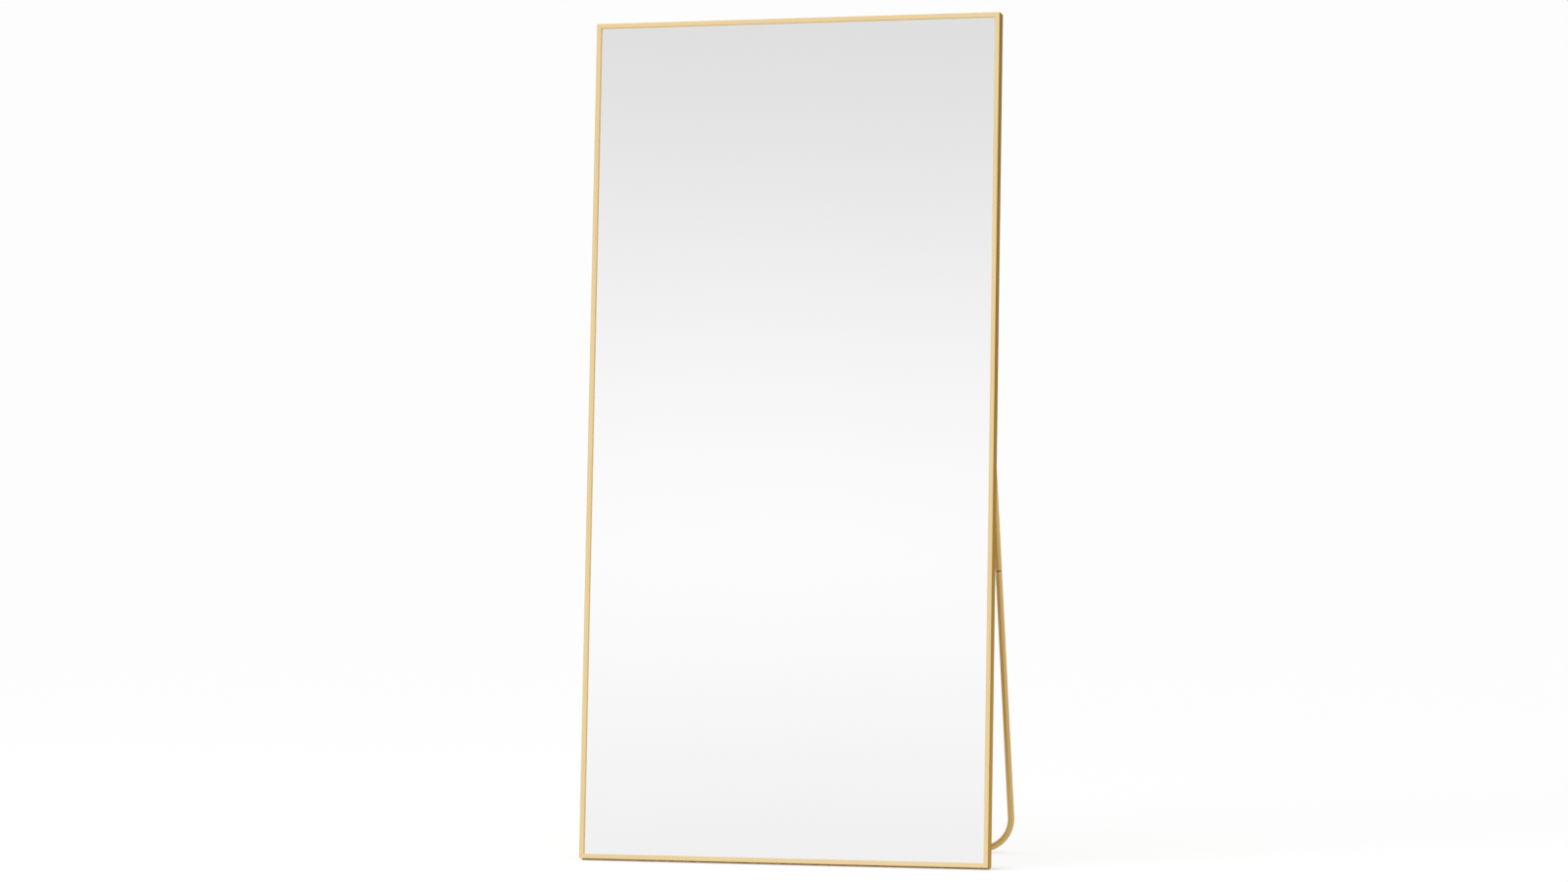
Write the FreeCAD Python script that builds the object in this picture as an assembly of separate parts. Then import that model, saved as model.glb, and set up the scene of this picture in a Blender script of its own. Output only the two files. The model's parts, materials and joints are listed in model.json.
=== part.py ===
import FreeCAD, Part
import math
import os

# Full-length mirror in a thin hollow frame, leaning back on a folding U-shaped tube stand.
# Lengths in millimetres, angles in degrees. X runs across the mirror, Y to the back, Z up from the floor.

# Panel outline
panel_width = 890.0
panel_height = 1800.0
panel_lean = 4.05

# Hollow frame section
face_width = 9.5
frame_depth = 36.0
frame_wall = 1.4
lip_depth = 5.5
edge_round = 0.5

# Layers held in the slot of the frame, front to back
glass_thickness = 4.0
film_thickness = 0.3
tape_thickness = 1.0
board_thickness = 5.0
edge_play = 1.2
film_margin = 4.0
tape_width = 22.0
tape_margin = 40.0
tape_count = 6
block_length = 80.0
block_spread_share = 0.5

# Corner keys pressed into the rear chamber of the frame
key_leg = 58.0
key_play = 0.2

# Folded steel brackets of the hinge
sheet = 2.0
bend_radius = 2.0
web_height = 40.0
cheek_height = 72.0
cheek_corner = 6.0
nut_plate_thickness = 3.0

# Screws of the brackets
screw_radius = 2.0
screw_head_radius = 4.0
screw_head_height = 2.8
screw_margin = 9.0
screw_end = 1.0

# Pivot of the stand
pivot_height = 1167.0
pivot_margin = 7.0
pin_radius = 3.0
pin_head_radius = 5.2
pin_head_height = 2.4
bush_radius = 4.5

# Tube stand; the opening is the angle between its legs and the panel
leg_inset = 27.0
leg_opening = 17.75
leg_end = 12.9
lower_leg_length = 628.0
tube_radius = 7.0
tube_wall = 1.2
tube_bend = 74.5
spigot_wall = 1.0
spigot_length = 60.0
groove_depth = 1.0
groove_below = 2.5
groove_above = 1.0
plug_cap = 2.0
plug_stem = 3.0
sleeve_thickness = 1.5
sleeve_length = 70.0
sleeve_inset = 48.5

# Rubber strips under the bottom rail, pressed to the floor
pad_thickness = 2.5
pad_inset = 1.0
pad_parting = 1.0
pad_setback = 18.0

# Keyhole hangers under the top rail
hanger_width = 52.0
hanger_drop = 44.0
hanger_inset = 119.0
hanger_gap = 3.2
hanger_setback = 0.5
keyhole_radius = 5.0
keyhole_drop = 30.0
keyhole_slot = 2.6
keyhole_rise = 11.0

# Clearances and overruns
cut_overrun = 1.0
thread_clearance = 0.1
hole_clearance = 0.3
running_clearance = 0.05
side_clearance = 0.3
stop_clearance = 0.1
fit_clearance = 0.1
edge_match = 0.05

# Derived sizes
slot_back = lip_depth + glass_thickness + film_thickness + tape_thickness + board_thickness
pane_edge = frame_wall + edge_play
inner_wall = face_width - frame_wall
chamber_front = slot_back + frame_wall
chamber_back = frame_depth - frame_wall
chamber_middle = (chamber_front + chamber_back) / 2
web_face = slot_back + sheet
bracket_inside = leg_inset - face_width - sheet
cheek_screw_spread = cheek_height - screw_margin - screw_margin
screw_hole = screw_radius + hole_clearance
leg_x = panel_width / 2 - leg_inset
bore_radius = tube_radius - tube_wall
spigot_radius = bore_radius - fit_clearance
spigot_bore = spigot_radius - spigot_wall
seat_radius = tube_radius - groove_depth
foot_height = tube_radius + sleeve_thickness
hanger_back = frame_depth - hanger_setback
lean_sine = math.sin(math.radians(panel_lean))
lean_cosine = math.cos(math.radians(panel_lean))
opening_sine = math.sin(math.radians(leg_opening))
opening_cosine = math.cos(math.radians(leg_opening))

# The front corner of the leg's end meets the web of the bracket at the full opening
pivot_depth = web_face + stop_clearance + leg_end * opening_sine + tube_radius * opening_cosine
fitting_back = pivot_depth + pivot_margin

# Where the pivot is once the panel leans, measured from the rear bottom edge of the frame
pivot_behind = (pivot_depth - frame_depth) * lean_cosine + pivot_height * lean_sine
pivot_above = pad_thickness + pivot_height * lean_cosine - (pivot_depth - frame_depth) * lean_sine

# Legs that reach from the pivot to the floor
leg_slope = leg_opening - panel_lean
leg_length = (pivot_above - foot_height) / math.cos(math.radians(leg_slope))
seam_level = lower_leg_length - leg_length
foot_behind = pivot_behind + leg_length * math.sin(math.radians(leg_slope))
rear_edge = (frame_depth * lean_cosine - foot_behind - foot_height) / 2

origin = FreeCAD.Vector(0, 0, 0)
across = FreeCAD.Vector(1, 0, 0)
backward = FreeCAD.Vector(0, 1, 0)
upward = FreeCAD.Vector(0, 0, 1)
quarter_turn = 90.0
full_turn = 360.0


def block(x_span, y_span, z_span):
    """Box between pairs of limits."""
    corner = FreeCAD.Vector(x_span[0], y_span[0], z_span[0])
    sizes = [span[1] - span[0] for span in (x_span, y_span, z_span)]
    return Part.makeBox(sizes[0], sizes[1], sizes[2], corner)


def centred(middle, length):
    """Pair of limits around a middle."""
    return (middle - length / 2, middle + length / 2)


def rod(radius, start, direction, length):
    """Cylinder from a point along a direction."""
    return Part.makeCylinder(radius, length, start, direction)


def prism(points, sweep):
    """Polygon swept along a vector."""
    corners = [FreeCAD.Vector(*point) for point in points]
    return Part.Face(Part.makePolygon(corners + corners[:1])).extrude(sweep)


def mirrored(shape):
    """Left-hand piece turned into its right-hand twin."""
    return shape.mirror(origin, across)


def both_sides(shape):
    """Left piece and its right twin as separate solids."""
    return [shape, mirrored(shape)]


def pair(shape):
    """Left piece and its right twin in one node."""
    return Part.makeCompound(both_sides(shape))


def lean_back(shape):
    """Carry a piece from the upright panel to its leaning place on the floor."""
    placed = shape.copy()
    placed.rotate(FreeCAD.Vector(0, frame_depth, 0), across, -panel_lean)
    placed.translate(FreeCAD.Vector(0, rear_edge - frame_depth, pad_thickness))
    return placed


def swing_out(shape):
    """Carry a piece from the upright stand, pivot at the origin, to the opened stand."""
    placed = shape.copy()
    placed.rotate(origin, across, leg_slope)
    placed.translate(FreeCAD.Vector(0, rear_edge + pivot_behind, pivot_above))
    return placed


def long_edges(shape, corners):
    """Upright edges of a section at the given corners."""
    found = []
    for edge in shape.Edges:
        first, last = edge.Vertexes[0].Point, edge.Vertexes[-1].Point
        upright = abs(first.x - last.x) + abs(first.y - last.y) < edge_match
        if upright and any(math.hypot(first.x - x, first.y - y) < edge_match for x, y in corners):
            found.append(edge)
    return found


def frame_section():
    """Hollow section: x inward from the outer face, y back from the front face."""
    outline = [(0, 0), (face_width, 0), (face_width, lip_depth), (inner_wall, lip_depth),
               (inner_wall, frame_wall), (frame_wall, frame_wall), (frame_wall, slot_back),
               (face_width, slot_back), (face_width, frame_depth), (0, frame_depth)]
    chamber = [(frame_wall, chamber_front), (inner_wall, chamber_front),
               (inner_wall, chamber_back), (frame_wall, chamber_back)]
    faces = []
    for points in (outline, chamber):
        corners = [FreeCAD.Vector(x, y, 0) for x, y in points]
        faces.append(Part.Face(Part.makePolygon(corners + corners[:1])))
    return faces[0].cut(faces[1])


def frame_member(length, holes):
    """Mitred length of the section, drilled through its inner wall at distances along it."""
    bar = frame_section().extrude(upward * length)
    corners = [(0, 0), (face_width, 0), (0, frame_depth), (face_width, frame_depth)]
    bar = bar.makeFillet(edge_round, long_edges(bar, corners))
    mitre = [(0, 0, 0), (face_width, 0, face_width), (face_width, 0, length - face_width), (0, 0, length)]
    bar = bar.common(prism(mitre, backward * frame_depth))
    for along in holes:
        start = FreeCAD.Vector(inner_wall - cut_overrun, chamber_middle, along)
        bar = bar.cut(rod(screw_hole, start, across, frame_wall + cut_overrun + cut_overrun))
    return bar


def turn_to_side(shape, quarter):
    """Turn a bottom-left piece clockwise round the panel by quarter turns."""
    corner_places = [(-panel_width / 2, 0), (-panel_width / 2, panel_height),
                     (panel_width / 2, panel_height), (panel_width / 2, 0)]
    x, z = corner_places[quarter]
    placed = shape.copy()
    placed.rotate(origin, backward, quarter * quarter_turn)
    placed.translate(FreeCAD.Vector(x, 0, z))
    return placed


def frame_members():
    """Two stiles and two rails, laid clockwise from the left stile."""
    from_bottom = centred(pivot_height, cheek_screw_spread)
    from_top = [panel_height - height for height in from_bottom]
    plans = [("frame_left_stile", panel_height, from_bottom),
             ("frame_top_rail", panel_width, []),
             ("frame_right_stile", panel_height, from_top),
             ("frame_bottom_rail", panel_width, [])]
    members = {}
    for quarter, (name, length, holes) in enumerate(plans):
        members[name] = turn_to_side(frame_member(length, holes), quarter)
    return members


def corner_key():
    """L-shaped key for the bottom-left corner, lying against the inner walls."""
    outer = frame_wall + key_play
    outline = [(outer, outer), (key_leg, outer), (key_leg, inner_wall),
               (inner_wall, inner_wall), (inner_wall, key_leg), (outer, key_leg)]
    start = chamber_front + key_play
    return prism([(x, start, z) for x, z in outline], backward * (chamber_back - key_play - start))


def corner_keys():
    """Four keys, clockwise from the bottom left."""
    corners = ["bottom_left", "top_left", "top_right", "bottom_right"]
    keys = {}
    for quarter, corner in enumerate(corners):
        keys["corner_key_" + corner] = turn_to_side(corner_key(), quarter)
    return keys


def sheet_layer(margin, front, thickness):
    """Flat layer of the panel inside a margin."""
    half = panel_width / 2 - margin
    return block((-half, half), (front, front + thickness), (margin, panel_height - margin))


def foam_tape_strips():
    """Upright strips of tape spread evenly across the film."""
    front = slot_back - board_thickness - tape_thickness
    span = panel_width - tape_margin - tape_margin - tape_width
    strips = []
    for number in range(tape_count):
        middle = span * (number / (tape_count - 1)) - span / 2
        strips.append(block(centred(middle, tape_width), (front, front + tape_thickness),
                            (tape_margin, panel_height - tape_margin)))
    return Part.makeCompound(strips)


def glass_setting_blocks():
    """Two blocks that carry the glass and the board in the bottom rail."""
    depths = (lip_depth, slot_back)
    heights = (frame_wall, pane_edge)
    middles = centred(0, panel_width * block_spread_share)
    return Part.makeCompound([block(centred(middle, block_length), depths, heights) for middle in middles])


def left_of_panel(distance_in, depth, height):
    """Point given by its distance in from the panel's left side face."""
    return FreeCAD.Vector(distance_in - panel_width / 2, depth, height)


def hinge_bracket():
    """Left bracket folded from one sheet: web on the back board, long outer cheek on the stile."""
    inner_end = leg_inset + bracket_inside + sheet
    outer = [(face_width, slot_back), (inner_end, slot_back),
             (inner_end, fitting_back), (face_width, fitting_back)]
    low, high = centred(pivot_height, web_height)
    channel = prism([(x, y, low) for x, y in outer], upward * web_height)
    channel = channel.makeFillet(bend_radius + sheet, long_edges(channel, outer[:2]))
    inside = centred(leg_inset, bracket_inside + bracket_inside)
    hollow = block(inside, (web_face, fitting_back + cut_overrun), (low - cut_overrun, high + cut_overrun))
    hollow = hollow.makeFillet(bend_radius, long_edges(hollow, [(x, web_face) for x in inside]))
    cheek = block((face_width, face_width + sheet), (web_face + bend_radius, fitting_back),
                  centred(pivot_height, cheek_height))
    folded = channel.cut(hollow).fuse(cheek).removeSplitter()
    folded = folded.makeFillet(cheek_corner, [edge for edge in folded.Edges if is_rear_corner(edge)])
    start = FreeCAD.Vector(0, pivot_depth, pivot_height)
    folded = folded.cut(rod(pin_radius + fit_clearance, start, across, inner_end + cut_overrun))
    for height in centred(pivot_height, cheek_screw_spread):
        start = FreeCAD.Vector(0, chamber_middle, height)
        folded = folded.cut(rod(screw_hole, start, across, face_width + sheet + cut_overrun))
    return folded.translated(across * (-panel_width / 2))


def is_rear_corner(edge):
    """Whether an edge runs across a cheek of the bracket at one of its rear corners."""
    first, last = edge.Vertexes[0].Point, edge.Vertexes[-1].Point
    heights = centred(pivot_height, web_height) + centred(pivot_height, cheek_height)
    at_back = abs(first.y - fitting_back) + abs(last.y - fitting_back) < edge_match
    level = abs(first.z - last.z) < edge_match
    at_end = min(abs(first.z - height) for height in heights) < edge_match
    return at_back and level and at_end


def hinge_nut_plate():
    """Left tapped plate inside the stile, drawn against its inner wall."""
    depths = (chamber_front + key_play, chamber_back - key_play)
    heights = centred(pivot_height, cheek_height)
    plate = block((inner_wall - nut_plate_thickness, inner_wall), depths, heights)
    for height in centred(pivot_height, cheek_screw_spread):
        start = FreeCAD.Vector(0, chamber_middle, height)
        plate = plate.cut(rod(screw_radius + thread_clearance, start, across, face_width))
    return plate.translated(across * (-panel_width / 2))


def hexagon(radius):
    """Corners of an upright hexagon across the X axis."""
    turns = [math.radians(quarter_turn + number * full_turn / 6) for number in range(6)]
    return [FreeCAD.Vector(0, radius * math.cos(turn), radius * math.sin(turn)) for turn in turns]


def hinge_bracket_screws():
    """Two hexagon-head screws through the outer cheek of each bracket into the nut plate."""
    length = sheet + frame_wall + nut_plate_thickness + screw_end
    screws = []
    for height in centred(pivot_height, cheek_screw_spread):
        seat = left_of_panel(face_width + sheet, chamber_middle, height)
        head = prism([seat + corner for corner in hexagon(screw_head_radius)], across * screw_head_height)
        screws += both_sides(head.fuse(rod(screw_radius, seat, across * -1, length)))
    return Part.makeCompound(screws)


def hinge_pivot_pin():
    """Left pivot pin: headed at the inner cheek, riveted flush in the outer cheek."""
    inner_face = leg_inset + bracket_inside + sheet
    seat = left_of_panel(inner_face, pivot_depth, pivot_height)
    head = rod(pin_head_radius, seat, across, pin_head_height)
    return head.fuse(rod(pin_radius, seat, across * -1, inner_face - face_width))


def frame_foot_pad():
    """Left rubber strip under the bottom rail, a long wedge that is level with the floor underneath."""
    front_drop = (pad_thickness + (frame_depth - pad_setback) * lean_sine) / lean_cosine
    rear_drop = pad_thickness / lean_cosine
    side = [(pad_setback, 0), (frame_depth, 0), (frame_depth, -rear_drop), (pad_setback, -front_drop)]
    start = pad_inset - panel_width / 2
    return prism([(start, y, z) for y, z in side], across * (-start - pad_parting / 2))


def rounded_fold(shape, depth, height, radius):
    """Round the edge that runs across the panel at a depth and height."""
    edges = [edge for edge in shape.Edges
             if abs(edge.CenterOfMass.y - depth) + abs(edge.CenterOfMass.z - height) < edge_match]
    return shape.makeFillet(radius, edges)


def wall_hanger():
    """Left folded plate under the top rail with a keyhole for a wall screw."""
    top = panel_height - face_width
    bottom = top - hanger_drop
    front = slot_back + hanger_gap
    inside = hanger_back - sheet
    left = hanger_inset - panel_width / 2
    middle = left + hanger_width / 2
    plate = block((left, left + hanger_width), (front, hanger_back), (bottom, top))
    hollow = block((left - cut_overrun, left + hanger_width + cut_overrun), (front - cut_overrun, inside),
                   (bottom - cut_overrun, top - sheet))
    plate = rounded_fold(plate, hanger_back, top, bend_radius + sheet)
    plate = plate.cut(rounded_fold(hollow, inside, top - sheet, bend_radius))
    start = FreeCAD.Vector(middle, inside - cut_overrun, top - keyhole_drop)
    depth = sheet + cut_overrun + cut_overrun
    slot = block(centred(middle, keyhole_slot + keyhole_slot), (start.y, start.y + depth),
                 (start.z, start.z + keyhole_rise))
    end = rod(keyhole_slot, start + upward * keyhole_rise, backward, depth)
    return plate.cut(rod(keyhole_radius, start, backward, depth).fuse([slot, end]))


def stand_upper_leg():
    """Left upper leg tube, cross-drilled for the pivot bush, its lower end seated on the lower U."""
    foot = FreeCAD.Vector(-leg_x, 0, seam_level)
    length = leg_end - plug_cap - seam_level
    tube = rod(tube_radius, foot + upward * groove_above, upward, length - groove_above)
    tube = tube.fuse(Part.makeCone(seat_radius, tube_radius, groove_above, foot, upward))
    tube = tube.cut(rod(bore_radius, foot, upward, length))
    side = FreeCAD.Vector(-leg_x - tube_radius, 0, 0)
    return tube.cut(rod(bush_radius, side, across, tube_radius + tube_radius)).removeSplitter()


def tube_run(start, direction, length):
    """Straight length of the stand's tube."""
    return rod(tube_radius, start, direction, length).cut(rod(bore_radius, start, direction, length))


def stand_spigot():
    """Left end of the lower U, necked down to fit into the upper leg."""
    shoulder = seam_level - groove_below
    tip = seam_level + spigot_length
    outline = [(tube_radius, shoulder), (seat_radius, seam_level), (spigot_radius, seam_level),
               (spigot_radius, tip), (spigot_bore, tip), (spigot_bore, shoulder)]
    corners = [FreeCAD.Vector(radius - leg_x, 0, height) for radius, height in outline]
    profile = Part.Face(Part.makePolygon(corners + corners[:1]))
    return profile.revolve(FreeCAD.Vector(-leg_x, 0, 0), upward, full_turn)


def stand_lower_u():
    """Bent tube, drawn solid inside its two bends, with its ends necked down for the upper legs."""
    bend_level = tube_bend - leg_length
    turn = FreeCAD.Vector(-leg_x, 0, bend_level)
    hub = turn + across * tube_bend
    leg = tube_run(turn, upward, seam_level - groove_below - bend_level)
    section = Part.Face(Part.Wire(Part.makeCircle(tube_radius, turn, upward)))
    bend = section.revolve(hub, backward * -1, quarter_turn)
    crossbar = tube_run(FreeCAD.Vector(hub.x, 0, -leg_length), across, -hub.x - hub.x)
    return crossbar.fuse(both_sides(bend) + both_sides(leg) + both_sides(stand_spigot())).removeSplitter()


def stand_end_plug():
    """Plug that closes the top of the left leg and meets the bracket when the stand is open."""
    seat = FreeCAD.Vector(-leg_x, 0, leg_end - plug_cap)
    cap = rod(tube_radius, seat, upward, plug_cap)
    return cap.fuse(rod(bore_radius - fit_clearance, seat, upward * -1, plug_stem))


def stand_pivot_bush():
    """Bush across the left leg that turns on the pivot pin between the cheeks."""
    half = bracket_inside - side_clearance
    start = FreeCAD.Vector(-leg_x - half, 0, 0)
    bush = rod(bush_radius, start, across, half + half)
    return bush.cut(rod(pin_radius + running_clearance, start, across, half + half))


def stand_foot_sleeve():
    """Left rubber sleeve on the crossbar, standing on the floor."""
    start = FreeCAD.Vector(tube_bend + sleeve_inset - leg_x, 0, -leg_length)
    sleeve = rod(foot_height, start, across, sleeve_length)
    return sleeve.cut(rod(tube_radius, start, across, sleeve_length))


def panel_pieces():
    """Every piece that leans with the panel, still upright."""
    film_front = lip_depth + glass_thickness
    pieces = frame_members()
    pieces.update(corner_keys())
    pieces["mirror_glass"] = sheet_layer(pane_edge, lip_depth, glass_thickness)
    pieces["safety_film"] = sheet_layer(pane_edge + film_margin, film_front, film_thickness)
    pieces["foam_tape_strips"] = foam_tape_strips()
    pieces["back_board"] = sheet_layer(pane_edge, slot_back - board_thickness, board_thickness)
    pieces["glass_setting_blocks"] = glass_setting_blocks()
    pieces["hinge_bracket_left"] = hinge_bracket()
    pieces["hinge_bracket_right"] = mirrored(hinge_bracket())
    pieces["hinge_nut_plates"] = pair(hinge_nut_plate())
    pieces["hinge_bracket_screws"] = hinge_bracket_screws()
    pieces["hinge_pivot_pins"] = pair(hinge_pivot_pin())
    pieces["frame_foot_pads"] = pair(frame_foot_pad())
    pieces["wall_hanger_left"] = wall_hanger()
    pieces["wall_hanger_right"] = mirrored(wall_hanger())
    return pieces


def stand_pieces():
    """Every piece that turns with the stand, still upright with the pivot at the origin."""
    return {
        "stand_upper_leg_left": stand_upper_leg(),
        "stand_upper_leg_right": mirrored(stand_upper_leg()),
        "stand_lower_u": stand_lower_u(),
        "stand_end_plugs": pair(stand_end_plug()),
        "stand_pivot_bushes": pair(stand_pivot_bush()),
        "stand_foot_sleeves": pair(stand_foot_sleeve()),
    }


os.makedirs("parts", exist_ok=True)
for name, shape in panel_pieces().items():
    lean_back(shape).exportStep("parts/" + name + ".step")
for name, shape in stand_pieces().items():
    swing_out(shape).exportStep("parts/" + name + ".step")
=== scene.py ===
import json
import math

import bmesh
import bpy
from mathutils import Matrix, Vector

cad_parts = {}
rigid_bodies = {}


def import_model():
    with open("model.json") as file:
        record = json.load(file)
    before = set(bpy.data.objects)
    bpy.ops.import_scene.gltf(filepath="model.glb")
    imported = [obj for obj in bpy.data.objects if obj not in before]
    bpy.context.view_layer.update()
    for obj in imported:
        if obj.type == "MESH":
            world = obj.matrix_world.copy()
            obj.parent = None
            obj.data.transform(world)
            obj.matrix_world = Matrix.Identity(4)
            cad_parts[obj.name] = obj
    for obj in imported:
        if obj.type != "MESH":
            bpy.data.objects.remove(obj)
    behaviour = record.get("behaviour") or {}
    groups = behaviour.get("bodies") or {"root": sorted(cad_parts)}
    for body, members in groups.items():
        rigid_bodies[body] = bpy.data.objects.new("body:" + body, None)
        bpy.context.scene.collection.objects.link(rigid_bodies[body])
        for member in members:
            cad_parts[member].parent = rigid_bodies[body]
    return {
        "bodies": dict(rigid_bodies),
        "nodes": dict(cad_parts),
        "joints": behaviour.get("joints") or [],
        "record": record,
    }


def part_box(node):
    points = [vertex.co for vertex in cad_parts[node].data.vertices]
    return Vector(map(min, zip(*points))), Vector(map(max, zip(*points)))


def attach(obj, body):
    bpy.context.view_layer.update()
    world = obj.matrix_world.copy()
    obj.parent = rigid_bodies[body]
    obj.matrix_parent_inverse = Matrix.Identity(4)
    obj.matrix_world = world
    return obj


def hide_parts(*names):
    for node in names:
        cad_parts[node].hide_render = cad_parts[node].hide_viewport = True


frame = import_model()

# Full-length mirror in a thin brushed frame, leaning back on a folding tube stand.
# Metres, X across the mirror, Y to the back, Z up from the floor.

nodes = frame["nodes"]
for thing in list(bpy.data.objects):
    if thing not in nodes.values() and thing not in frame["bodies"].values():
        bpy.data.objects.remove(thing)
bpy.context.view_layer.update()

# Axes of the leaning panel and of the opened stand, read from the frame
across = Vector((1, 0, 0))
keyhole = next(mount for mount in frame["record"]["mounts"] if mount["name"] == "wall_keyhole_left")
panel_back = Vector(keyhole["axis"]).normalized()
panel_up = across.cross(panel_back)
panel_axes = Matrix((across, panel_back, panel_up)).transposed()
panel_middle = sum(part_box("mirror_glass"), Vector()) / 2
lean = math.atan2(-panel_back.z, panel_back.y)
pivot = Vector(frame["joints"][0]["pos_m"])
foot_axis = sum(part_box("stand_foot_sleeves"), Vector()) / 2
leg_down = Vector((0, foot_axis.y - pivot.y, foot_axis.z - pivot.z)).normalized()
stand_axes = Matrix((across, -leg_down.cross(across), -leg_down)).transposed()
leg_slope = math.atan2(leg_down.y, -leg_down.z)


def local_points(node, axes):
    """Points of a CAD node in the given axes."""
    turn = axes.transposed()
    return [turn @ vertex.co for vertex in nodes[node].data.vertices]


def pair_points(node, axes):
    """Points of the left and of the right member of a pair that is one CAD node."""
    points = local_points(node, axes)
    return [[point for point in points if point.x * side > 0] for side in (-1, 1)]


def span(points, index):
    """Lowest and highest value of one coordinate."""
    values = [point[index] for point in points]
    return min(values), max(values)


def middle(points, index):
    """Value half way between the lowest and the highest."""
    return sum(span(points, index)) / 2


# Dark band at the joint between the two tubes of each leg, bare neck with painted shade in the gap, and the
# heights between which crossbar turns into leg
leg_points = local_points("stand_upper_leg_right", stand_axes)
leg_left, leg_right = span(leg_points, 0)
leg_radius = (leg_right - leg_left) / 2
joint_half_width = 0.2 * leg_radius
joint_level = span(leg_points, 2)[0] - 0.1 * leg_radius
bend_range = (3.5 * foot_axis.z, 6.5 * foot_axis.z)

# Nodes of materials

white = (1, 1, 1)
bevel_samples = 4
shade_samples = 8

# Kinds of noise as detail and roughness, and the ranges that hold most of it and its middle
noise_kinds = {"smooth": (2, 0.5), "soft": (3, 0.5), "crisp": (3, 0.6),
               "rough": (4, 0.6), "fibrous": (4, 0.65)}
most_noise = (0.2, 0.8)
mid_noise = (0.3, 0.7)

# Ranges of the dot products that tell front faces, inner faces and edges, and the full part of a band
front_range = (0.55, 0.9)
inner_range = (-0.2, -0.1)
edge_range = (0.99, 0.8)
band_core = 0.6


def feed(tree, socket, value):
    """Give an input another node's output, a number, a vector or a colour."""
    if isinstance(value, bpy.types.NodeSocket):
        tree.links.new(value, socket)
    elif socket.type == "RGBA":
        socket.default_value = (*value, 1)
    else:
        socket.default_value = value


def add_node(tree, kind, inputs=None, **settings):
    """New node of a kind with its settings, and with its inputs by name or number."""
    made = tree.nodes.new("ShaderNode" + kind)
    for name, value in settings.items():
        setattr(made, name, value)
    for key, value in (inputs or {}).items():
        feed(tree, made.inputs[key], value)
    return made


def empty_tree(holder):
    """Node tree of a material or of the world, cleared."""
    holder.use_nodes = True
    holder.node_tree.nodes.clear()
    return holder.node_tree


def new_material(name, constants=None):
    """Node material with its surface shader, on which the constants are set."""
    made = bpy.data.materials.new(name)
    tree = empty_tree(made)
    shader = add_node(tree, "BsdfPrincipled", constants)
    add_node(tree, "OutputMaterial", {"Surface": shader.outputs["BSDF"]})
    return made, tree, shader


def coordinates(tree, kind):
    """One of the texture coordinates."""
    return add_node(tree, "TexCoord").outputs[kind]


def math_node(tree, operation, first, second=0):
    """Arithmetic on two values, each a socket or a number."""
    return add_node(tree, "Math", {0: first, 1: second}, operation=operation).outputs[0]


def dot(tree, first, second):
    """Dot product of two vectors, each a socket or a fixed one."""
    return add_node(tree, "VectorMath", {0: first, 1: second}, operation="DOT_PRODUCT").outputs["Value"]


def remap(tree, value, source, target):
    """Value carried smoothly from one range to another, held at the ends."""
    inputs = {"Value": value, "From Min": source[0], "From Max": source[1],
              "To Min": target[0], "To Max": target[1]}
    return add_node(tree, "MapRange", inputs, interpolation_type="SMOOTHSTEP").outputs["Result"]


def mix(tree, factor, first, second, **settings):
    """Blend of two values, each a socket or a constant."""
    made = add_node(tree, "Mix", **settings)
    sockets = [socket for socket in made.inputs if socket.enabled]
    for socket, value in zip(sockets, (factor, first, second)):
        feed(tree, socket, value)
    return next(socket for socket in made.outputs if socket.enabled)


def mix_colours(tree, factor, first, second, mode="MIX"):
    """Blend of two colours, each a socket or a colour."""
    return mix(tree, factor, first, second, data_type="RGBA", blend_type=mode)


def between(tree, value, source, first, second, most=1):
    """Colour that goes from the first to the second, or to most of it, as a value crosses a range."""
    return mix_colours(tree, remap(tree, value, source, (0, most)), first, second)


def tinted(tree, colour, *tints):
    """Colour multiplied by each of the tints."""
    for tint in tints:
        colour = mix_colours(tree, 1, colour, tint, "MULTIPLY")
    return colour


def shade(colour, share):
    """Colour made lighter or darker by a share."""
    return tuple(channel * share for channel in colour)


def even(waves):
    """Noise scales that are alike on all axes, in waves per metre."""
    return (waves, waves, waves)


def stretched(axis, along, aside):
    """Noise scales that are drawn out along one axis, in waves per metre."""
    return tuple(along if index == axis else aside for index in range(3))


def noise(tree, scales, kind, tilt=0):
    """Noise in object space, turned with a tilted piece."""
    detail, roughness = noise_kinds[kind]
    turned = add_node(tree, "Mapping", {"Vector": coordinates(tree, "Object"), "Rotation": (tilt, 0, 0)})
    spread = add_node(tree, "Mapping", {"Vector": turned.outputs["Vector"], "Scale": scales})
    inputs = {"Vector": spread.outputs["Vector"], "Scale": 1, "Detail": detail, "Roughness": roughness}
    return add_node(tree, "TexNoise", inputs).outputs["Fac"]


def relief(tree, shader, height, strength, distance, rounding):
    """Fine bumps over edges that are rounded a little for the light; gives the rounded normal."""
    rounded = add_node(tree, "Bevel", {"Radius": rounding}, samples=bevel_samples).outputs["Normal"]
    inputs = {"Strength": strength, "Distance": distance, "Height": height, "Normal": rounded}
    feed(tree, shader.inputs["Normal"], add_node(tree, "Bump", inputs).outputs["Normal"])
    return rounded


def worn_edges(tree, rounded, ground, rubbed, share):
    """Ground colour, rubbed by a share along edges, where the rounded normal leaves the true one."""
    true_normal = add_node(tree, "NewGeometry").outputs["True Normal"]
    edge = remap(tree, dot(tree, rounded, true_normal), edge_range, (0, 1))
    return mix_colours(tree, math_node(tree, "MULTIPLY", edge, share), ground, rubbed)


def facing_mask(tree, direction):
    """1 on faces that look along a direction of the object, 0 on the others."""
    return remap(tree, dot(tree, coordinates(tree, "Normal"), direction), front_range, (0, 1))


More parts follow.
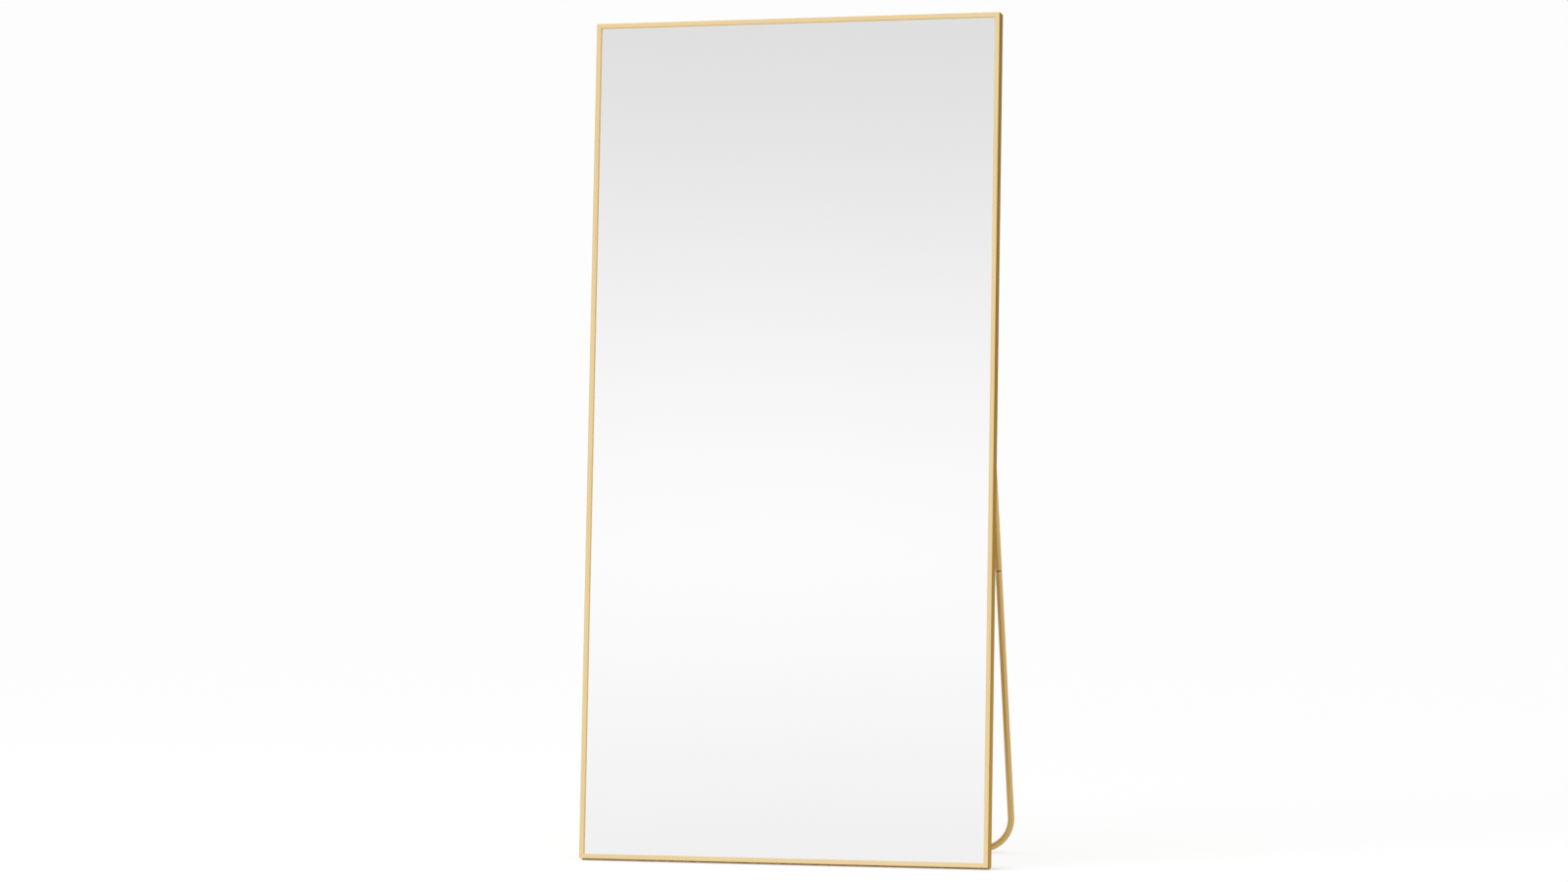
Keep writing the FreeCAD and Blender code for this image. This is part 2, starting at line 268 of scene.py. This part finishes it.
def inward_mask(tree, centre):
    """1 on faces that look toward a point inside the frame, 0 on those that look away from it."""
    offset = add_node(tree, "VectorMath", {0: coordinates(tree, "Object"), 1: centre}, operation="SUBTRACT")
    outward = dot(tree, offset.outputs["Vector"], coordinates(tree, "Normal"))
    return remap(tree, outward, inner_range, (1, 0))


def height_mask(tree, heights):
    """0 below the first height of the object, 1 above the second."""
    parts = add_node(tree, "SeparateXYZ", {0: coordinates(tree, "Object")})
    return remap(tree, parts.outputs["Z"], heights, (0, 1))


def band_mask(tree, direction, level, half_width):
    """1 in a thin band across a direction of the object, 0 on both sides of it."""
    offset = math_node(tree, "SUBTRACT", dot(tree, coordinates(tree, "Object"), direction), level)
    return remap(tree, math_node(tree, "ABSOLUTE", offset), (band_core * half_width, half_width), (1, 0))


def paint(tree, shader, colour, roughness):
    """Lead the colour and the roughness to the shader."""
    feed(tree, shader.inputs["Base Color"], colour)
    feed(tree, shader.inputs["Roughness"], roughness)


# Materials, with colours as they look in plain light, except the frame's golds: a painted lit gold and a
# painted shaded gold

# One frame gold, painted lit for front and inner faces and painted in shade for side and back faces
lit_face_gold = (0.895, 0.70, 0.385)
shaded_side_gold = (0.56, 0.365, 0.12)
worn_gold = (0.93, 0.80, 0.56)
tube_gold = (0.70, 0.475, 0.175)
grazing_gold = (0.74, 0.56, 0.32)
joint_brown_and_shade = (0.16, 0.098, 0.042)
silver = (0.978, 0.978, 0.978)
board_brown = (0.52, 0.37, 0.23)
zinc_grey = (0.60, 0.61, 0.62)
cast_grey = (0.50, 0.51, 0.52)
nylon_black = (0.022, 0.022, 0.023)
rubber_black = (0.016, 0.016, 0.016)
pad_tan = (0.66, 0.48, 0.275)
film_white = (0.72, 0.73, 0.73)
foam_white = (0.68, 0.68, 0.66)


def brushed_aluminium(name, axis):
    """Champagne anodised extrusion, brushed along its axis; front and inner faces get a painted lit gold,
    the other faces a painted shaded gold.
    """
    made, tree, shader = new_material(name, {"Metallic": 1, "Specular Tint": grazing_gold})
    streaks = noise(tree, stretched(axis, along=5, aside=1500), "crisp", lean)
    bands = noise(tree, stretched(axis, along=1.2, aside=160), "smooth", lean)
    clouds = noise(tree, stretched(2, along=2.5, aside=5), "smooth", lean)
    rounded = relief(tree, shader, streaks, strength=0.12, distance=0.00004, rounding=0.0005)
    # Painted light: front and inner faces take the lit gold, the other faces the shaded gold
    painted_lit_faces = math_node(tree, "MAXIMUM", facing_mask(tree, -panel_back), inward_mask(tree, panel_middle))
    gold = worn_edges(tree, rounded, mix_colours(tree, painted_lit_faces, shaded_side_gold, lit_face_gold), worn_gold, share=0.35)
    brushed = between(tree, streaks, (0.25, 0.75), shade(white, 0.96), shade(white, 1.04))
    banded = between(tree, bands, mid_noise, shade(white, 0.98), (1.01, 1.01, 1.02))
    cloudy = between(tree, clouds, mid_noise, (1.0, 0.985, 0.955), (1.0, 1.005, 1.02))
    colour = tinted(tree, gold, brushed, banded, cloudy)
    paint(tree, shader, colour, remap(tree, streaks, most_noise, (0.30, 0.46)))
    return made


def lacquered_tube(name):
    """Satin gold lacquer on drawn steel tube: faint drawing lines under an even clear coat."""
    constants = {"Metallic": 0.5, "Specular Tint": grazing_gold, "Coat Weight": 0.2, "Coat Roughness": 0.25}
    made, tree, shader = new_material(name, constants)
    leg_lines = noise(tree, stretched(2, along=6, aside=700), "crisp", -leg_slope)
    bar_lines = noise(tree, stretched(0, along=6, aside=700), "crisp")
    lines = mix(tree, height_mask(tree, bend_range), bar_lines, leg_lines)
    clouds = noise(tree, stretched(2, along=4, aside=14), "soft", -leg_slope)
    peel = noise(tree, even(900), "smooth")
    rounded = relief(tree, shader, peel, strength=0.05, distance=0.00005, rounding=0.0003)
    gold = worn_edges(tree, rounded, tube_gold, worn_gold, share=0.4)
    drawn = between(tree, lines, mid_noise, shade(white, 0.95), shade(white, 1.04))
    cloudy = between(tree, clouds, mid_noise, (0.98, 0.965, 0.93), (1.01, 1.02, 1.05))
    # Dark band at the joint: bare neck colour with painted shade in the gap between the tubes
    joint = band_mask(tree, -leg_down, joint_level, joint_half_width)
    colour = mix_colours(tree, joint, tinted(tree, gold, drawn, cloudy), joint_brown_and_shade)
    paint(tree, shader, colour, remap(tree, clouds, most_noise, (0.36, 0.46)))
    return made


def silvered_mirror(name):
    """Polished float glass over silver: almost perfect, with a faint bloom and the odd wiped streak."""
    made, tree, shader = new_material(name, {"Metallic": 1})
    bloom = noise(tree, stretched(2, along=1.2, aside=2), "smooth", lean)
    wiped = noise(tree, (30, 3, 2), "rough", lean)
    colour = between(tree, bloom, mid_noise, silver, shade(silver, 0.992))
    paint(tree, shader, colour, remap(tree, wiped, (0.55, 0.8), (0.0, 0.012)))
    return made


def fibre_board(name):
    """Smooth natural fibreboard with pressed fibres, darker flecks and soft clouds."""
    made, tree, shader = new_material(name)
    fibres = noise(tree, stretched(2, along=160, aside=700), "fibrous", lean)
    flecks = noise(tree, stretched(2, along=90, aside=260), "smooth", lean)
    clouds = noise(tree, stretched(2, along=4, aside=6), "soft", lean)
    relief(tree, shader, fibres, strength=0.3, distance=0.00012, rounding=0.0004)
    ground = between(tree, clouds, mid_noise, shade(board_brown, 0.95), shade(board_brown, 1.04))
    fibred = between(tree, fibres, (0.35, 0.75), ground, shade(board_brown, 1.35), most=0.6)
    flecked = between(tree, flecks, (0.62, 0.75), fibred, shade(board_brown, 0.55), most=0.5)
    paint(tree, shader, flecked, remap(tree, fibres, most_noise, (0.62, 0.8)))
    return made


def plated_steel(name):
    """Bright zinc plate: cool grey with faint spangle, rolling lines and rubbed edges."""
    made, tree, shader = new_material(name, {"Metallic": 1})
    spangle = noise(tree, even(160), "crisp")
    rolling = noise(tree, stretched(2, along=20, aside=900), "crisp", lean)
    rounded = relief(tree, shader, rolling, strength=0.1, distance=0.00004, rounding=0.0004)
    ground = between(tree, spangle, (0.35, 0.7), shade(zinc_grey, 0.86), shade(zinc_grey, 1.08))
    colour = worn_edges(tree, rounded, ground, shade(zinc_grey, 1.25), share=0.5)
    paint(tree, shader, colour, remap(tree, spangle, most_noise, (0.24, 0.42)))
    return made


def cast_zinc(name):
    """Raw die casting: dull grey with a grainy skin."""
    made, tree, shader = new_material(name, {"Metallic": 0.9})
    grain = noise(tree, even(1200), "crisp")
    clouds = noise(tree, even(60), "soft")
    relief(tree, shader, grain, strength=0.3, distance=0.0001, rounding=0.0006)
    colour = between(tree, clouds, mid_noise, shade(cast_grey, 0.85), shade(cast_grey, 1.1))
    paint(tree, shader, colour, remap(tree, grain, most_noise, (0.48, 0.62)))
    return made


def moulded(name, colour, waves, depth, roughness):
    """Moulded rubber, foam or plastic: fine grain, slight bloom, paler rubbed edges."""
    made, tree, shader = new_material(name)
    grain = noise(tree, even(waves), "crisp")
    bloom = noise(tree, even(90), "soft")
    rounded = relief(tree, shader, grain, strength=0.35, distance=depth, rounding=0.0003)
    ground = between(tree, bloom, mid_noise, shade(colour, 0.8), shade(colour, 1.3))
    worn = worn_edges(tree, rounded, ground, shade(colour, 2.2), share=0.3)
    paint(tree, shader, worn, remap(tree, grain, most_noise, roughness))
    return made


stile_finish = brushed_aluminium("brushed_stile", axis=2)
rail_finish = brushed_aluminium("brushed_rail", axis=0)
tube_finish = lacquered_tube("gold_lacquer")
mirror_finish = silvered_mirror("silvered_glass")
board_finish = fibre_board("fibre_board")
steel_finish = plated_steel("zinc_plate")
casting_finish = cast_zinc("die_casting")
nylon_finish = moulded("black_nylon", nylon_black, waves=1600, depth=0.00003, roughness=(0.38, 0.5))
rubber_finish = moulded("black_rubber", rubber_black, waves=1100, depth=0.00008, roughness=(0.62, 0.8))
pad_finish = moulded("tan_rubber", pad_tan, waves=1100, depth=0.00008, roughness=(0.62, 0.8))
film_finish = moulded("safety_film", film_white, waves=400, depth=0.00002, roughness=(0.3, 0.42))
foam_finish = moulded("foam_tape", foam_white, waves=2200, depth=0.0002, roughness=(0.8, 0.92))

# The corner keys, which aren't listed, are castings
finishes = {
    "frame_left_stile": stile_finish, "frame_right_stile": stile_finish,
    "frame_top_rail": rail_finish, "frame_bottom_rail": rail_finish,
    "mirror_glass": mirror_finish, "safety_film": film_finish, "foam_tape_strips": foam_finish,
    "back_board": board_finish, "glass_setting_blocks": rubber_finish,
    "hinge_bracket_left": steel_finish, "hinge_bracket_right": steel_finish,
    "hinge_nut_plates": steel_finish, "hinge_bracket_screws": steel_finish,
    "hinge_pivot_pins": steel_finish, "wall_hanger_left": steel_finish, "wall_hanger_right": steel_finish,
    "frame_foot_pads": pad_finish, "stand_foot_sleeves": rubber_finish,
    "stand_end_plugs": nylon_finish, "stand_pivot_bushes": nylon_finish,
    "stand_upper_leg_left": tube_finish, "stand_upper_leg_right": tube_finish, "stand_lower_u": tube_finish,
}
for node_name, node in nodes.items():
    for holder in node.material_slots:
        holder.material = finishes.get(node_name, casting_finish)

# Pieces and turned forms

weld_distance = 1e-7
tolerance = 1e-5


def add_object(name, data):
    """New object in the scene."""
    made = bpy.data.objects.new(name, data)
    bpy.context.scene.collection.objects.link(made)
    return made


def add_piece(name, mesh, finish, body, slot, *replaced, sharp_angle):
    """Finished bmesh as a piece on a body, smooth except along sharp edges, with the nodes it stands for."""
    bmesh.ops.remove_doubles(mesh, verts=mesh.verts, dist=weld_distance)
    bmesh.ops.recalc_face_normals(mesh, faces=mesh.faces)
    for face in mesh.faces:
        face.smooth = True
    for edge in mesh.edges:
        edge.smooth = len(edge.link_faces) == 2 and edge.calc_face_angle() < sharp_angle
    data = bpy.data.meshes.new(name)
    mesh.to_mesh(data)
    mesh.free()
    data.materials.append(finish)
    piece = add_object(name, data)
    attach(piece, body)
    if replaced:
        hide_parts(*replaced)


def add_lathe(mesh, profile, start, direction, segments, side=None):
    """Turned form: pairs of distance along the axis and radius, numbers or functions of the turn."""
    axis = direction.normalized()
    if side is None:
        side = axis.orthogonal().normalized()
    other = axis.cross(side)
    rings = []
    for along, radius in profile:
        if radius == 0:
            rings.append([mesh.verts.new(start + axis * along)])
            continue
        ring = []
        for step in range(segments):
            turn = 2 * math.pi * step / segments
            level, reach = (value(turn) if callable(value) else value for value in (along, radius))
            outward = side * math.cos(turn) + other * math.sin(turn)
            ring.append(mesh.verts.new(start + axis * level + outward * reach))
        rings.append(ring)
    for first, second in zip(rings, rings[1:]):
        for step in range(segments):
            after = (step + 1) % segments
            corners = [first[step % len(first)], first[after % len(first)],
                       second[after % len(second)], second[step % len(second)]]
            distinct = list(dict.fromkeys(corners))
            if len(distinct) > 2:
                mesh.faces.new(distinct)
    return rings


def quarter(first, last, steps):
    """Quarter of an ellipse in a profile, along the axis at the first point and across it at the last."""
    turns = [math.pi / 2 * step / steps for step in range(steps)]
    return [(first[0] + (last[0] - first[0]) * math.sin(turn),
             last[1] + (first[1] - last[1]) * math.cos(turn)) for turn in turns] + [last]


def scaled(shares, length, radius):
    """Profile from shares of a length and of a radius."""
    return [(along * length, reach * radius) for along, reach in shares]


def hexagon(flat):
    """Radius of a hexagon at a turn, from half its width across the flats."""
    return lambda turn: flat / math.cos((turn + math.pi / 6) % (math.pi / 3) - math.pi / 6)


# Screws, pins and small fittings, as shares of their own lengths and radii

head_share = 0.8
centre_share = 0.2
washer_face = [(0, 0), (0, 0.97), (0.1, 0.99), (0.14, 0.9), (0.14, 0)]
head_foot = 0.14
crown_level = 0.82
corner_drop = 0.22
crown_radius = 0.86
thread_pitch = 0.35
thread_start = 0.94
thread_root = 0.88
thread_tip = 0.7
rivet_radius = 0.8
rivet_length = 0.2
pin_head = [(0, 0.97), (0.03, 1)] + quarter((0.35, 1), (1, 0), steps=10)
button_height = 0.55
button_dome = [(0, 0)] + quarter((0, 1), (1, 0.55), steps=8)
socket_flat = 0.42
socket_floor = 0.3
socket_point = 0.22
grip_ends = (0.2, 0.8)
cap_share = 0.97
plug_stem = [(-1, 0), (-1, 0.92), (-0.8, 1), (-0.55, 1), (-0.5, 0.95), (-0.3, 0.95), (-0.25, 1), (0, 1)]
plug_cap = [(0, 0.98), (0.08, 1)] + quarter((0.4, 1), (1, 0.82), steps=8) + [(1, 0.5), (0.96, 0)]


def headed_pin(points):
    """Seat under the head of a pin along X, the head's side, and radius and length of head and shank."""
    y, z = middle(points, 1), middle(points, 2)
    reach = [math.hypot(point.y - y, point.z - z) for point in points]
    widest = max(reach)
    shank = min(far for far in reach if far > centre_share * widest)
    head = span([point for point, far in zip(points, reach) if far > head_share * widest], 0)
    whole = span(points, 0)
    toward = 1 if sum(head) > sum(whole) else -1
    x, tip = (head[0], whole[0]) if toward > 0 else (head[1], whole[1])
    seat = panel_axes @ Vector((x, y, z))
    return seat, across * toward, widest, head[1] - head[0], shank, abs(tip - x)


def hexagon_screw(mesh, points):
    """Hexagon screw along X: washer face, six flats, chamfered crown and threaded shank."""
    seat, toward, corner, height, shank, length = headed_pin(points)
    flat = corner * math.cos(math.pi / 6)
    outline = hexagon(flat)

    def chamfer(turn):
        """Level at which a side ends, lower toward the corners."""
        return height * (crown_level - corner_drop * (outline(turn) - flat) / (corner - flat))

    add_lathe(mesh, scaled(washer_face, height, flat), seat, toward, segments=48)
    sides = [(head_foot * height, outline), (chamfer, outline), (height, crown_radius * flat)]
    rings = add_lathe(mesh, sides, seat, toward, segments=48, side=panel_back)
    mesh.faces.new(rings[0])
    mesh.faces.new(rings[-1])
    pitch = thread_pitch * shank
    thread = [(0, 0), (0, thread_start * shank)]
    for turn in range(int(length / pitch) - 1):
        thread += [((turn + 0.5) * pitch, shank), ((turn + 1) * pitch, thread_root * shank)]
    thread += [(length, thread_tip * shank), (length, 0)]
    add_lathe(mesh, thread, seat, -toward, segments=32)


def domed_pin(mesh, points):
    """Pivot pin along X with a low domed head and a riveted far end."""
    seat, toward, widest, height, shank, length = headed_pin(points)
    rivet = [(-length, 0), (-length, rivet_radius * shank),
             (rivet_length * shank - length, shank), (0, shank)]
    add_lathe(mesh, rivet + scaled(pin_head, height, widest), seat, toward, segments=64)


def socket_screw(mesh, seat, direction, radius):
    """Button head with a hexagon socket, its base on a seat."""
    height = button_height * radius
    outline = hexagon(socket_flat * radius)
    socket = [(height, outline), (socket_floor * height, outline), (socket_point * height, 0)]
    add_lathe(mesh, scaled(button_dome, height, radius) + socket, seat, direction, segments=48)


def rubber_sleeve(mesh, points):
    """Sleeve on the crossbar: rounded rims, shallow grips and the bore that holds the tube."""
    left, right = span(points, 0)
    low, high = span(points, 2)
    length = right - left
    outer = (high - low) / 2
    bore = min(math.hypot(point.y - foot_axis.y, point.z - foot_axis.z) for point in points)
    rim = 0.45 * (outer - bore)
    margin = 3 * rim
    slope = 0.4 * rim
    groove = outer - 0.5 * rim
    grips = 5
    pitch = (length - 2 * margin) / grips
    profile = [(0, bore)] + quarter((rim, outer), (0, outer - rim), steps=8)[::-1]
    for grip in range(grips):
        near, far = (margin + pitch * (grip + end) for end in grip_ends)
        profile += [(near, outer), (near + slope, groove), (far - slope, groove), (far, outer)]
    profile += quarter((length - rim, outer), (length, outer - rim), steps=8) + [(length, bore), (0, bore)]
    add_lathe(mesh, profile, Vector((left, foot_axis.y, foot_axis.z)), across, segments=72)


def leg_plug(mesh, points):
    """Nylon plug in the top of a leg: domed cap over a ribbed stem."""
    x, y = middle(points, 0), middle(points, 1)
    low, high = span(points, 2)
    reach = [(math.hypot(point.x - x, point.y - y), point.z) for point in points]
    widest = max(far for far, level in reach)
    cap_low = min(level for far, level in reach if far > cap_share * widest)
    stem = max(far for far, level in reach if level < cap_low - tolerance)
    profile = scaled(plug_stem, cap_low - low, stem) + scaled(plug_cap, high - cap_low, widest)
    add_lathe(mesh, profile, stand_axes @ Vector((x, y, cap_low)), -leg_down, segments=64)


screws = bmesh.new()
screw_middle = middle(local_points("hinge_bracket_screws", panel_axes), 2)
for pair in pair_points("hinge_bracket_screws", panel_axes):
    for level in (-1, 1):
        hexagon_screw(screws, [point for point in pair if (point.z - screw_middle) * level > 0])
add_piece("bracket_screws", screws, steel_finish, "panel", "zinc_steel", "hinge_bracket_screws",
          sharp_angle=0.45)

# Two screws along the flange of each hanger
hanger_sheet = keyhole["dims"]["length_mm"] / 1000
hanger_radius = 1.6 * hanger_sheet
hanger_depth = 0.42
hanger_places = (0.2, 0.8)
hanger_heads = bmesh.new()
for node_name in ("wall_hanger_left", "wall_hanger_right"):
    plate = local_points(node_name, panel_axes)
    left, right = span(plate, 0)
    front, back = span(plate, 1)
    flange = span(plate, 2)[1] - hanger_sheet
    for share in hanger_places:
        seat = Vector((left + (right - left) * share, front + (back - front) * hanger_depth, flange))
        socket_screw(hanger_heads, panel_axes @ seat, -panel_up, hanger_radius)
add_piece("hanger_screws", hanger_heads, steel_finish, "panel", "zinc_steel", sharp_angle=0.5)

pins = bmesh.new()
for points in pair_points("hinge_pivot_pins", panel_axes):
    domed_pin(pins, points)
add_piece("pivot_pins", pins, steel_finish, "panel", "zinc_steel", "hinge_pivot_pins", sharp_angle=0.6)

sleeves = bmesh.new()
for points in pair_points("stand_foot_sleeves", Matrix.Identity(3)):
    rubber_sleeve(sleeves, points)
add_piece("foot_sleeves", sleeves, rubber_finish, "stand", "black_rubber", "stand_foot_sleeves",
          sharp_angle=0.5)

plugs = bmesh.new()
for points in pair_points("stand_end_plugs", stand_axes):
    leg_plug(plugs, points)
add_piece("leg_plugs", plugs, nylon_finish, "stand", "black_nylon", "stand_end_plugs", sharp_angle=0.5)

# Stage: pale floor, white surroundings, soft light

white_level = 0.984
room_light = 0.82

# The floor's own glow brings what it throws back up to white, and is dimmer far away in reflections
floor_reach = 60
floor_paint = (0.8, 0.8, 0.79)
floor_share = 0.22
floor_glow = white_level - floor_share * room_light
far_range = (1.5, 9.0)
far_dimming = 0.1

# Painted soft shade beside the object, away from the light, and painted brown shade in the gap under it
light_from = Vector((-0.45, -0.87, 0.2)).normalized()
shadow_reach = 0.08
shadow_range = (0.42, 1.0)
shadow_level = (0.62, 1.0)
gap_reach = 0.005
gap_range = (0.03, 0.42)
gap_shade = (0.92, 0.84, 0.70)

# Surroundings in reflections: ranges of height or direction, and the levels at their ends
horizon_rise = ((0.02, 0.125), (0.88, 0.995))
sky_fall = ((0.115, 0.27), (0.0, 0.25))
overhead_rise = ((0.27, 0.5), (0.0, 0.6))
front_half = ((-0.7, -0.2), (1, 0))
behind_fall = ((0.72, 0.96), (1.0, 0.50))
behind_turn = math.radians(14.7)
behind = (math.sin(behind_turn), math.cos(behind_turn), 0)


def path_kinds(tree):
    """Camera rays, and the rays that mirrors and glass send on."""
    path = add_node(tree, "LightPath").outputs
    reflected = math_node(tree, "MAXIMUM", path["Is Glossy Ray"], path["Is Transmission Ray"])
    return path["Is Camera Ray"], reflected


def openness(tree, inputs):
    """How open the surroundings of a point are."""
    return add_node(tree, "AmbientOcclusion", inputs, samples=shade_samples).outputs["AO"]


def floor_material():
    """Pale floor: white to the eye, darkened where the object stands and where it shades the light."""
    made = bpy.data.materials.new("pale_floor")
    tree = empty_tree(made)
    camera_ray, reflected = path_kinds(tree)
    toward_light = add_node(tree, "Normal").outputs["Normal"]
    toward_light.default_value = light_from
    beside = openness(tree, {"Distance": shadow_reach, "Normal": toward_light})
    beneath = openness(tree, {"Distance": gap_reach})
    shadow = remap(tree, beside, shadow_range, shadow_level)
    # Painted brown shade on the floor where the gap under the frame is closed in
    gap = between(tree, beneath, gap_range, gap_shade, white)
    distance = add_node(tree, "VectorMath", {0: coordinates(tree, "Object")}, operation="LENGTH")
    far_glow = remap(tree, distance.outputs["Value"], far_range, (floor_glow, floor_glow - far_dimming))
    strength = math_node(tree, "MULTIPLY", mix(tree, reflected, floor_glow, far_glow), shadow)
    glow = add_node(tree, "Emission", {"Strength": strength, "Color": gap})
    matt = add_node(tree, "BsdfDiffuse", {"Color": shade(white, floor_share)})
    seen = add_node(tree, "AddShader", {0: glow.outputs[0], 1: matt.outputs[0]})
    lit = add_node(tree, "BsdfDiffuse", {"Color": floor_paint})
    is_seen = math_node(tree, "MAXIMUM", camera_ray, reflected)
    choice = add_node(tree, "MixShader", {0: is_seen, 1: lit.outputs[0], 2: seen.outputs[0]})
    add_node(tree, "OutputMaterial", {"Surface": choice.outputs[0]})
    return made


def surroundings():
    """White to the eye; mirror and metal see the same white as a soft studio, dimmer high up and behind."""
    world = bpy.data.worlds.new("studio")
    bpy.context.scene.world = world
    tree = empty_tree(world)
    camera_ray, reflected = path_kinds(tree)
    direction = coordinates(tree, "Generated")
    parts = add_node(tree, "SeparateXYZ", {0: direction}).outputs
    rising = remap(tree, parts["Z"], *horizon_rise)
    falling = remap(tree, parts["Z"], *sky_fall)
    overhead = remap(tree, parts["Z"], *overhead_rise)
    front_level = math_node(tree, "ADD", math_node(tree, "SUBTRACT", rising, falling), overhead)
    back_level = remap(tree, dot(tree, direction, behind), *behind_fall)
    pattern = mix(tree, remap(tree, parts["Y"], *front_half), back_level, front_level)
    strength = mix(tree, camera_ray, mix(tree, reflected, room_light, pattern), white_level)
    background = add_node(tree, "Background", {"Color": white, "Strength": strength})
    add_node(tree, "OutputWorld", {"Surface": background.outputs[0]})


floor_mesh = bpy.data.meshes.new("floor")
floor_corners = [(x * floor_reach, y * floor_reach, 0) for x, y in ((-1, -1), (1, -1), (1, 1), (-1, 1))]
floor_mesh.from_pydata(floor_corners, [], [(0, 1, 2, 3)])
floor_mesh.materials.append(floor_material())
floor = add_object("floor", floor_mesh)
surroundings()

lamp_data = bpy.data.lights.new("soft_key", "AREA")
lamp_data.shape = "DISK"
lamp_data.size = 2.6
lamp_data.energy = 70
lamp = add_object("soft_key", lamp_data)
lamp.location = (-2.8, -3.6, 3.6)
lamp_aim = Vector((0, 0, 0.6))
lamp.rotation_euler = (lamp_aim - lamp.location).to_track_quat("-Z", "Y").to_euler()
lamp.visible_glossy = False

# Camera at the photograph's angle, in degrees up from level and round to the left
camera_rise = 0.6585
camera_turn = 14.6852
camera_data = bpy.data.cameras.new("camera")
camera_data.sensor_width = 36
camera_data.lens = 93.5
camera_data.clip_end = 300
camera = add_object("camera", camera_data)
camera.location = (2.1831, -8.5030, 0.7950)
camera.rotation_euler = (math.radians(90 + camera_rise), 0, math.radians(camera_turn))
bpy.context.scene.camera = camera
bpy.context.scene.view_settings.view_transform = "Standard"
